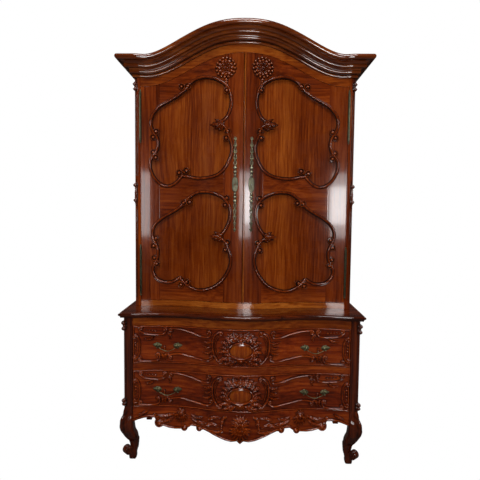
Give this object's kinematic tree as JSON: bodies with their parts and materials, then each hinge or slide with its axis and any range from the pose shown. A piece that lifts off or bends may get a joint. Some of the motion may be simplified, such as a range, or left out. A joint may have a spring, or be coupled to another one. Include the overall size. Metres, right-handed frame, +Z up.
{
  "type": "linen press",
  "caption": "Two-part carved wooden linen press: double-door shelved cupboard with arched cornice over a serpentine chest of wide drawers on cabriole legs.",
  "frame": {"origin": "on the floor, midway between the sides and between front and back", "axes": "+X to the right as seen from the front, +Y to the back, +Z up"},
  "size_m": [1.4148, 0.6049, 2.412],
  "materials": {
    "polished_wood": "french polished dark red-brown",
    "panel_wood": "french polished, strong upright figure",
    "inner_wood": "plain unfinished",
    "brass": "aged, dull",
    "steel": "dull"
  },
  "bodies": {
    "carcase": {"apron": "polished_wood", "back_legs": "polished_wood", "base_strip": "polished_wood", "case_hinge_halves": "brass", "commode_board": "polished_wood", "cornice_front": "polished_wood", "cornice_returns": "polished_wood", "door_frieze": "polished_wood", "drawer_divider": "polished_wood", "drawer_runners": "inner_wood", "dust_board": "inner_wood", "frieze_rail": "polished_wood", "front_leg_left": "polished_wood", "front_leg_right": "polished_wood", "lower_back": "inner_wood", "lower_sides": "polished_wood", "shelf_cleats": "inner_wood", "shelves": "inner_wood", "upper_back_boards": "inner_wood", "upper_bottom": "polished_wood", "upper_post_left": "polished_wood", "upper_post_right": "polished_wood", "upper_roof": "polished_wood", "upper_sides": "polished_wood"},
    "bottom_bolt_body": {"bottom_bolt": "steel"},
    "left_door": {"bolt_guides": "steel", "left_door_mouldings": "polished_wood", "left_door_panels": "panel_wood", "left_door_rails": "polished_wood", "left_escutcheon": "brass", "left_hinge_halves": "brass", "left_hinge_stile": "polished_wood", "left_meeting_stile": "polished_wood"},
    "lock_bolt_body": {"lock_bolt": "steel"},
    "lower_drawer": {"lower_drawer_back": "inner_wood", "lower_drawer_bottom": "inner_wood", "lower_drawer_carvings": "polished_wood", "lower_drawer_front": "polished_wood", "lower_drawer_pull_posts": "brass", "lower_drawer_sides": "inner_wood"},
    "lower_drawer_bail_left_body": {"lower_drawer_bail_left": "brass"},
    "lower_drawer_bail_right_body": {"lower_drawer_bail_right": "brass"},
    "right_door": {"lock_case": "steel", "meeting_bead": "polished_wood", "right_door_mouldings": "polished_wood", "right_door_panels": "panel_wood", "right_door_rails": "polished_wood", "right_escutcheon": "brass", "right_hinge_halves": "brass", "right_hinge_stile": "polished_wood", "right_meeting_stile": "polished_wood"},
    "top_bolt_body": {"top_bolt": "steel"},
    "upper_drawer": {"upper_drawer_back": "inner_wood", "upper_drawer_bottom": "inner_wood", "upper_drawer_carvings": "polished_wood", "upper_drawer_front": "polished_wood", "upper_drawer_pull_posts": "brass", "upper_drawer_sides": "inner_wood"},
    "upper_drawer_bail_left_body": {"upper_drawer_bail_left": "brass"},
    "upper_drawer_bail_right_body": {"upper_drawer_bail_right": "brass"}
  },
  "joints": [
    {"name": "left_door_hinge", "type": "hinge", "parent": "carcase", "child": "left_door", "pos_m": [-0.58525, -0.07155, 1.4823], "axis": [0, 0, -1], "range_deg": [0, 110]},
    {"name": "right_door_hinge", "type": "hinge", "parent": "carcase", "child": "right_door", "pos_m": [0.58525, -0.07155, 1.4823], "axis": [0, 0, 1], "range_deg": [0, 110]},
    {"name": "lock_bolt_slide", "type": "slide", "parent": "right_door", "child": "lock_bolt_body", "axis": [-1, 0, 0], "range_m": [0, 0.012]},
    {"name": "top_bolt_slide", "type": "slide", "parent": "left_door", "child": "top_bolt_body", "axis": [0, 0, 1], "range_m": [0, 0.014]},
    {"name": "bottom_bolt_slide", "type": "slide", "parent": "left_door", "child": "bottom_bolt_body", "axis": [0, 0, -1], "range_m": [0, 0.012]},
    {"name": "upper_drawer_slide", "type": "slide", "parent": "carcase", "child": "upper_drawer", "axis": [0, -1, 0], "range_m": [0, 0.36]},
    {"name": "lower_drawer_slide", "type": "slide", "parent": "carcase", "child": "lower_drawer", "axis": [0, -1, 0], "range_m": [0, 0.36]},
    {"name": "upper_drawer_bail_left_swing", "type": "hinge", "parent": "upper_drawer", "child": "upper_drawer_bail_left_body", "pos_m": [-0.404, -0.22566, 0.651], "axis": [-1, 0, 0], "range_deg": [0, 80]},
    {"name": "upper_drawer_bail_right_swing", "type": "hinge", "parent": "upper_drawer", "child": "upper_drawer_bail_right_body", "pos_m": [0.404, -0.22566, 0.651], "axis": [-1, 0, 0], "range_deg": [0, 80]},
    {"name": "lower_drawer_bail_left_swing", "type": "hinge", "parent": "lower_drawer", "child": "lower_drawer_bail_left_body", "pos_m": [-0.404, -0.22566, 0.404], "axis": [-1, 0, 0], "range_deg": [0, 80]},
    {"name": "lower_drawer_bail_right_swing", "type": "hinge", "parent": "lower_drawer", "child": "lower_drawer_bail_right_body", "pos_m": [0.404, -0.22566, 0.404], "axis": [-1, 0, 0], "range_deg": [0, 80]}
  ]
}
